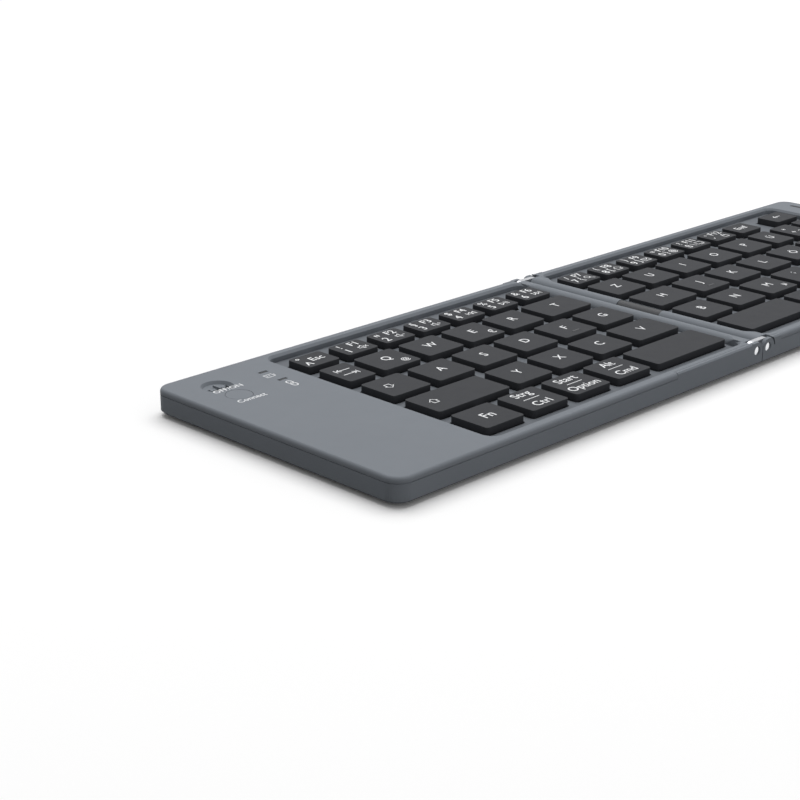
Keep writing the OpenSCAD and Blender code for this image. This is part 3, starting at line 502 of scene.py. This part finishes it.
# Icons: line width in millimetres, then lines and loops in halves of the icon's size
icons = {
    "mute": (0.26, [speaker, line((0.3, -0.4), (1, 0.4)), line((0.3, 0.4), (1, -0.4))]),
    "quieter": (0.26, [speaker, line((0.3, 0), (1, 0))]),
    "louder": (0.26, [speaker, line((0.3, 0), (1, 0)), line((0.65, -0.35), (0.65, 0.35))]),
    "previous": (0.24, [line((-1, -0.6), (-1, 0.6)), loop((-0.75, 0), (0.1, -0.6), (0.1, 0.6)),
                        loop((0.15, 0), (1, -0.6), (1, 0.6))]),
    "play": (0.26, [loop((-1, -0.65), (-0.05, 0), (-1, 0.65)), line((0.35, -0.65), (0.35, 0.65)),
                    line((0.85, -0.65), (0.85, 0.65))]),
    "next": (0.24, [loop((-1, -0.6), (-0.15, 0), (-1, 0.6)), loop((-0.1, -0.6), (0.75, 0), (-0.1, 0.6)),
                    line((1, -0.6), (1, 0.6))]),
    "search": (0.28, [ring(-0.2, 0.2, 0.62), line((0.25, -0.25), (0.95, -0.95))]),
    "house": (0.26, [loop((-0.7, -0.8), (0.7, -0.8), (0.7, 0), (1.05, 0), (0, 0.95), (-1.05, 0),
                          (-0.7, 0))]),
    "letter": (0.24, [oblong(-1, -0.68, 1, 0.68), line((-0.9, 0.58), (0, -0.12), (0.9, 0.58))]),
    "globe": (0.26, [ring(0, 0, 0.9), line((-0.9, 0), (0.9, 0)), line((0, -0.9), (0, 0.9)),
                     ring(0, 0, 0.45)]),
    "screen": (0.24, [oblong(-1, -0.45, 1, 0.8), line((-0.5, -0.85), (0.5, -0.85))]),
    "lock": (0.26, [oblong(-0.7, -0.9, 0.7, 0.1), line(*shackle)]),
    "divider": (0.25, [line((-1, 0), (1, 0))]),
    "nub": (0.62, [line((-0.85, 0), (0.85, 0))]),
    "tab": (0.32, [line((-1, 0.25), (-1, 1.07)), line((-0.9, 0.66), (1, 0.66)),
                   line((-0.4, 0.98), (-0.86, 0.66), (-0.4, 0.34)), line((1, -1.07), (1, -0.25)),
                   line((-1, -0.66), (0.9, -0.66)), line((0.4, -0.98), (0.86, -0.66), (0.4, -0.34))]),
    "capsArrow": (0.24, [loop(*[(x, -y) for x, y in blockArrow])]),
    "shiftArrow": (0.24, [loop(*blockArrow)]),
    "enter": (0.32, [line((0.9, 0.7), (0.9, -0.15), (-0.85, -0.15)),
                     line((-0.4, 0.3), (-0.9, -0.15), (-0.4, -0.6))]),
    "menu": (0.26, [oblong(-0.8, -1, 0.8, 1), line((-0.4, 0.45), (0.4, 0.45)),
                    line((-0.4, 0), (0.4, 0)), line((-0.4, -0.45), (0.4, -0.45))]),
    "cell": (0.2, [oblong(-0.95, -0.6, 0.7, 0.6), line((0.97, -0.3), (0.97, 0.3)),
                   line((-0.55, -0.25), (-0.55, 0.25)), line((-0.1, -0.25), (-0.1, 0.25))]),
    "chain": (0.32, [loop(*upperLink), loop(*lowerLink), line((0, -0.28), (0, 0.28))]),
}
arrow = (line((-0.9, 0), (1, 0)), line((-0.4, 0.5), (-0.95, 0), (-0.4, -0.5)))
for name, cosine, sine in (("arrowLeft", 1, 0), ("arrowDown", 0, 1), ("arrowRight", -1, 0),
                           ("arrowUp", 0, -1)):
    icons[name] = (0.32, [(closed, [(x * cosine - y * sine, x * sine + y * cosine) for x, y in points])
                          for closed, points in arrow])


def strokeSolid(points, width, closed, low, high, mitreLimit=0.35):
    # a rectangle carried along the line; at a bend its sides meet on the bisector of the two
    # directions
    points = np.array(points, float)
    run = np.roll(points, -1, 0) - points
    run /= np.linalg.norm(run, axis=1)[:, None]
    before = np.roll(run, 1, 0)
    if not closed:
        run[-1] = before[-1]
        before[0] = run[0]
    leftHere, leftBefore = (np.stack([-way[:, 1], way[:, 0]], -1) for way in (run, before))
    spread = np.maximum(1 + (leftHere * leftBefore).sum(1), mitreLimit)[:, None]
    mitre = (leftHere + leftBefore) / spread * width / 2
    count = len(points)
    left, right = points + mitre, points - mitre
    corners = np.stack([np.column_stack([side, np.full(count, z)]) for side, z in
                        ((left, low), (left, high), (right, high), (right, low))], 1)
    if closed:
        last, step = 4 * (count - 1), np.arange(4)
        following = (step + 1) % 4
        joint = np.stack([last + step, last + following, following, step], -1)
        faces = ringBand(count, 4).tolist() + joint.tolist()
    else:
        faces = cappedBand(count, 4)
    return corners.reshape(-1, 3) * mm, faces


# Lettering: shares of a sign's size, and the distance in millimetres at which points are one
lettering = {"capital": 0.72, "narrow": 0.97, "bold": 0.006, "merge": 0.0002}


def letterShape(text):
    # built-in letters as a flat solid of size one, a little emboldened
    curve = bpy.data.curves.new("letters", "FONT")
    curve.body = text
    curve.size = 1.0
    curve.offset = lettering["bold"]
    curve.extrude = 0.5
    curve.resolution_u = 3
    holder = bpy.data.objects.new("letters", curve)
    mesh = bpy.data.meshes.new_from_object(holder)
    points = np.empty(len(mesh.vertices) * 3)
    mesh.vertices.foreach_get("co", points)
    faces = [list(face.vertices) for face in mesh.polygons]
    bpy.data.objects.remove(holder)
    bpy.data.curves.remove(curve)
    bpy.data.meshes.remove(mesh)
    return points.reshape(-1, 3), faces


capitalHigh = np.ptp(letterShape("H")[0][:, 1])


def textSolid(text, x, y, size, low, high):
    # the middle of the letters' outline box goes to x, y; a capital's height is its share of
    # the size
    points, faces = letterShape(text)
    middle = (points[:, :2].max(0) + points[:, :2].min(0)) / 2
    scale = size * lettering["capital"] / capitalHigh
    flat = (points[:, :2] - middle) * (scale * lettering["narrow"], scale) + (x, y)
    return np.column_stack([flat, np.where(points[:, 2] > 0, high, low)]) * mm, faces


def markSolids(marks, x, y, low, high):
    # every mark as solids from low to high, its middle counted from x, y
    solids = []
    for kind, what, dx, dy, size in marks:
        if kind == "text":
            solids.append(textSolid(what, x + dx, y + dy, size, low, high))
            continue
        width, lines = icons[what]
        for closed, points in lines:
            route = np.array(points) * size / 2 + (x + dx, y + dy)
            solids.append(strokeSolid(route, width, closed, low, high))
    return solids


def legendPiece(name, solids, material, body, slot):
    # the marks of one piece, merged point to point and turned outwards
    mesh = meshFrom(name, solids, smooth=False)
    shape = mergedShape(mesh, lettering["merge"])
    bmesh.ops.recalc_face_normals(shape, faces=shape.faces)
    putBack(shape, mesh)
    addPiece(name, mesh, material, body, slot)


ink = {"sunk": 0.05, "proud": 0.008, "nubProud": 0.07}
for name in sorted({key[0] for key in allKeys}):
    group = [key for key in allKeys if key[0] == name]
    capMesh = meshFrom(name + "Caps", [keyCap(*key[1:5]) for key in group])
    caps = addPiece(name + "Caps", capMesh, keyPlastic, name, "keycap", name)
    weighNormals(caps)
    printed, raised = [], []
    low = cap["top"] - ink["sunk"]
    for _, x, y, width, depth, marks in group:
        flat = [mark for mark in marks if mark[1] != "nub"]
        felt = [mark for mark in marks if mark[1] == "nub"]
        printed += markSolids(flat, x, y, low, cap["top"] + ink["proud"])
        raised += markSolids(felt, x, y, low, cap["top"] + ink["nubProud"])
    if printed:
        legendPiece(name + "Legends", printed, legendPaint, name, "keycap")
    if raised:
        legendPiece(name + "Nub", raised, darkTrim, name, "keycap")
print("keys and legends made:", len(allKeys))

# Shells, decks and trim: the modelled parts with their edges broken, by a width for each
bevel = {"case": 0.12, "cover": 0.12, "deck": 0.1, "cable": 0.1, "bumper": 0.12, "button": 0.08,
         "knob": 0.1, "window": 0.06, "socket": 0.06, "link": 0.14}
for side in ("left", "right"):
    half = side + "_half"
    softened(side + "_bottom_case", bevel["case"], coverPlastic, "case", half)
    softened(side + "_top_cover", bevel["cover"], coverPlastic, "cover", half)
    # the decks wear the shell's plastic darkened: painted shade between the keys
    softened(side + "_key_deck", bevel["deck"], deckPlastic, "cover", half)
softened("cable_cover", bevel["cable"], darkTrim, "dark_trim", "right_half")
softened("bumper_strips", bevel["bumper"], feetRubber, "soft_rubber", "right_half")
softened("pairing_button", bevel["button"], coverPlastic, "button", "pairing_button")
softened("power_knob", bevel["knob"], coverPlastic, "button", "power_knob")
softened("indicator_windows", bevel["window"], windowPlastic, "window", "left_half")
softened("charge_socket", bevel["socket"], socketSteel, "socket_metal", "left_half")
softened("hinge_links", bevel["link"], linkSteel, "hinge_steel", "hinge_link", segments=3)
print("shells made")

# Hinge pins: four turned pins, each with a low domed and polished head inside its bore
pin = {"x": 2.65, "z": 5.2, "from": 39.6, "to": 44.68, "radius": 1.1, "chamfer": 0.2,
       "head": 1.35, "headHigh": 0.15, "dome": 0.08}


def hingePin(x, way):
    # a chamfered straight shank, a step out to the head, and a quarter of an ellipse
    turn = np.linspace(0, math.pi / 2, 10)[:-1]
    radius, head, dome = pin["radius"], pin["head"], pin["dome"]
    length = pin["to"] - pin["from"]
    under = length - pin["headHigh"]
    profile = [(radius - pin["chamfer"], 0.0), (radius, pin["chamfer"]), (radius, under), (head, under)]
    profile += list(zip(head * np.cos(turn), length - dome + dome * np.sin(turn)))
    return turned((x, way * pin["from"], pin["z"]), (0, way, 0), profile)


pins = [hingePin(x, way) for x in (-pin["x"], pin["x"]) for way in (-1, 1)]
addPiece("domedPins", meshFrom("domedPins", pins), pinSteel, "hinge_link", "hinge_steel", "hinge_pins")

# Screws: a low flat head with a bevelled rim and a cross recess, let in from below
screw = {"head": 1.6, "headHigh": 0.6, "shank": 0.8, "low": 1.1, "length": 3.0, "arm": 0.95,
         "armHalf": 0.22, "deep": 0.42, "draft": 0.8, "dish": 0.03, "rim": 0.18, "under": 0.12,
         "tip": 0.3,
         "places": [(x, y) for x in (13, 60) for y in (-39.3, 38.9)] + [(139.5, y) for y in (-39.5, 39.5)]}


def crossLoop(reach, half, perEdge=4):
    # twelve corners of a cross, with further points along each edge
    quarter = np.array([(reach, -half), (reach, half), (half, half)])
    corners = np.concatenate([quarter @ np.array([[c, s], [-s, c]])
                              for c, s in ((1, 0), (0, 1), (-1, 0), (0, -1))])
    part = np.arange(perEdge)[None, :, None] / perEdge
    return (corners[:, None] * (1 - part) + np.roll(corners, -1, 0)[:, None] * part).reshape(-1, 2)


def crossScrew(x, y):
    # rings from the recess's floor out to the head's rim, over it and up the shank to a blunt
    # tip; all have the cross's angles
    cross = crossLoop(screw["arm"], screw["armHalf"])
    angle = np.arctan2(cross[:, 1], cross[:, 0])
    circle = np.stack([np.cos(angle), np.sin(angle)], -1)
    low, head, shank, rim = screw["low"], screw["head"], screw["shank"], screw["rim"]
    top, steps = low + screw["headHigh"], len(cross)
    rings = [(cross * screw["draft"], low + screw["deep"]), (cross, low + screw["dish"]),
             (circle * (head - rim), low + screw["dish"]), (circle * head, low + rim),
             (circle * head, top - screw["under"]), (circle * shank, top),
             (circle * shank, top + screw["length"] - screw["tip"]),
             (circle * (shank - screw["tip"]), top + screw["length"])]
    points = [np.column_stack([outline + (x, y), np.full(steps, z)]) for outline, z in rings]
    return np.concatenate(points) * mm, cappedBand(len(rings), steps)


# Feet: rubber discs with a rolled edge and a shallow dish in the sole
foot = {"radius": 4.0, "high": 1.5, "roll": 0.22, "hub": 0.4, "dish": 0.12, "inner": 1.5, "outer": 1.3,
        "places": [(x, y) for x in (22, 122.5) for y in (-37, 37)]}


def rubberFoot(x, y):
    # from the sole's middle over the dish and the rolled edge to the flat back
    radius, roll, dish = foot["radius"], foot["roll"], foot["dish"]
    turn = np.linspace(-math.pi / 2, 0, 6)
    edge = list(zip(radius - roll + roll * np.cos(turn), roll + roll * np.sin(turn)))
    sole = [(foot["hub"], dish), (radius - foot["inner"], dish), (radius - foot["outer"], 0.0)]
    return turned((x, y, 0), (0, 0, 1), sole + edge + [(radius, foot["high"])])


for side, way in (("left", -1), ("right", 1)):
    half = side + "_half"
    screws = [crossScrew(way * x, y) for x, y in screw["places"]]
    addPiece(side + "CrossScrews", meshFrom(side + "CrossScrews", screws, smooth=False),
             screwSteel, half, "screw_steel", side + "_screws")
    discs = [rubberFoot(way * x, y) for x, y in foot["places"]]
    feet = addPiece(side + "RubberFeet", meshFrom(side + "RubberFeet", discs),
                    feetRubber, half, "soft_rubber", side + "_feet")
    weighNormals(feet)
    finishNode(side + "_support_plate", plateSteel)
    finishNode(side + "_membrane", filmGreen)
    finishNode(side + "_key_mechanisms", milkPlastic)
finishNode("main_board", boardGreen)
finishNode("battery", pouchFoil)
finishNode("button_switches", socketSteel)
print("hinge, screws and feet made")

# Print on the margin: words by the two controls, signs by the two windows; the rest stays bare
margin = {"top": 7.7, "sunk": 0.05, "proud": 0.006,
          "marks": [sign("OFF/ON", -131.7, 30.1, 2.6), sign("Connect", -131.8, 20.4, 2.6),
                    icon("cell", -117.3, 30.1, 3.2), icon("chain", -117.0, 21.6, 4.6)]}
marginSolids = markSolids(margin["marks"], 0, 0, margin["top"] - margin["sunk"],
                          margin["top"] + margin["proud"])
legendPiece("marginPrint", marginSolids, marginPaint, "left_half", "cover")
print("margin printed")

# Camera, light and floor, in metres and degrees
view = {"place": (-0.4092, -0.3104, 0.1636), "tilt": 70, "heading": -45, "lens": 80.72,
        "sensor": 36, "near": 0.01, "far": 50}
studio = {"size": 2.4, "place": (0.7, 0.8, 2.0), "power": 48, "ambient": 0.4,
          "fillSize": 1.2, "fillPlace": (0.6, -2.4, 0.5), "fillPower": 11, "fillTilt": 80,
          "floor": 0.15, "floorHalf": 4.0, "floorRough": 0.9, "shaded": 0.35, "fade": 0.5}
black, white = (0, 0, 0), (1, 1, 1)


def stand(name, data, place, tilt, heading=0):
    # an object of the studio at its place, tilted up from looking straight down
    thing = bpy.data.objects.new(name, data)
    thing.location = place
    thing.rotation_euler = (math.radians(tilt), 0, math.radians(heading))
    bpy.context.collection.objects.link(thing)
    return thing


def softPanel(name, size, power, place, tilt):
    # a square lamp
    light = bpy.data.lights.new(name, "AREA")
    light.shape, light.size, light.energy = "SQUARE", size, power
    stand(name, light, place, tilt)


def seenPlainly(tree):
    # 1 for a ray from the camera, or off gloss or through glass, and 0 for light and shade
    rays = {wire.socket.name: wire for wire in node(tree, "ShaderNodeLightPath", {}, {})}
    return (rays["Is Camera Ray"] + rays["Is Glossy Ray"] + rays["Is Transmission Ray"]).clipped()


lens = bpy.data.cameras.new("viewCamera")
lens.lens, lens.sensor_width = view["lens"], view["sensor"]
lens.clip_start, lens.clip_end = view["near"], view["far"]
bpy.context.scene.camera = stand("viewCamera", lens, view["place"], view["tilt"], view["heading"])
softPanel("overheadPanel", studio["size"], studio["power"], studio["place"], 0)
softPanel("frontFill", studio["fillSize"], studio["fillPower"], studio["fillPlace"], studio["fillTilt"])

# The world is white to the eye and dimmer as a light
world = bpy.data.worlds.new("studioWorld")
bpy.context.scene.world = world
world.use_nodes = True
sky = world.node_tree
sky.nodes.clear()
strength = seenPlainly(sky) * (1 - studio["ambient"]) + studio["ambient"]
glow = node(sky, "ShaderNodeBackground", {}, {"Color": (*white, 1), "Strength": strength})[0]
node(sky, "ShaderNodeOutputWorld", {}, {"Surface": glow})

# The floor is white and takes shade near the object, and fades to a plain white glow further off
floorMaterial, floorTree, floorPlace = newMaterial("paleFloor")
plain = seenPlainly(floorTree)
distance = node(floorTree, "ShaderNodeVectorMath", {"operation": "LENGTH"}, {0: floorPlace})[1]
away = ((distance - studio["shaded"]) / studio["fade"]).clipped()
lit = plain * (1 - away) + (1 - plain) * studio["floor"]
finishMaterial(floorTree, Base_Color=tint(floorTree, lit, black, white),
               Emission_Color=tint(floorTree, plain * away, black, white), Emission_Strength=1.0,
               Roughness=studio["floorRough"], Specular_IOR_Level=0.0)
reach = studio["floorHalf"]
floorMesh = bpy.data.meshes.new("floor")
floorMesh.from_pydata([(-reach, -reach, 0), (reach, -reach, 0), (reach, reach, 0), (-reach, reach, 0)],
                      [], [(0, 1, 2, 3)])
floorMesh.materials.append(floorMaterial)
floor = stand("floor", floorMesh, (0, 0, 0), 0)
bpy.context.scene.view_settings.view_transform = "Standard"
print("camera, light and floor set")
